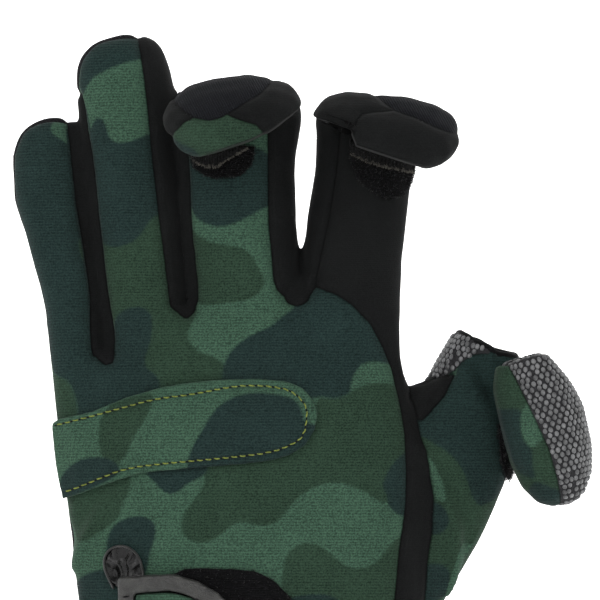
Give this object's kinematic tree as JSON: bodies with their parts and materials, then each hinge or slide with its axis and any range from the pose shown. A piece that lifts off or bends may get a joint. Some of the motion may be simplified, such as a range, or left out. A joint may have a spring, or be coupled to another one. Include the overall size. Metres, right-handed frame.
{
  "type": "fishing glove",
  "caption": "Left-hand neoprene fishing glove in green camouflage, with middle, index and thumb caps folded back, knuckle pad, wrist strap and open wrist.",
  "frame": {"origin": "centre of the wrist opening, in the plane of the cuff's lower edge", "axes": "+Z towards the fingertips, +X towards the thumb, -Y out of the back of the hand, +Y out of the palm"},
  "size_m": [0.1549, 0.0609, 0.2144],
  "materials": {
    "camo": "green camouflage jersey on neoprene, matt",
    "camo_pad": "green camouflage jersey over foam, edge stitched in yellow-green",
    "neoprene": "black jersey on neoprene, matt",
    "palm": "black synthetic suede, matt",
    "knit": "black ribbed knit jersey, matt",
    "grip": "black cloth with raised grey grip dots",
    "loop_pile": "black fuzzy loop pile",
    "hook_tape": "dark grey hook tape",
    "binding": "dark grey synthetic leather binding, grained and stitched",
    "gloss_band": "black glossy coated band, creased"
  },
  "bodies": {
    "root": {"back_panel": "camo", "index_back_panel": "neoprene", "web_panel": "neoprene", "thumb_back_panel": "camo", "palm_panel": "palm", "fourchette_pinky_ring": "neoprene", "fourchette_ring_middle": "neoprene", "fourchette_middle_index": "neoprene", "thumb_grip_panel": "grip", "middle_cap_palm": "knit", "middle_cap_back": "camo", "middle_cap_gusset_left": "neoprene", "middle_cap_gusset_right": "neoprene", "index_cap_palm": "knit", "index_cap_back": "neoprene", "index_cap_gusset": "neoprene", "thumb_cap_back": "camo", "thumb_cap_grip": "grip", "middle_loop_patch": "loop_pile", "middle_hook_patch": "hook_tape", "index_loop_patch": "loop_pile", "index_hook_patch": "hook_tape", "thumb_loop_patch": "loop_pile", "knuckle_pad": "camo_pad", "wrist_loop_patch": "loop_pile", "wrist_strap": "camo", "strap_binding": "binding", "pull_loop": "gloss_band", "cuff_hem": "neoprene"}
  },
  "joints": []
}
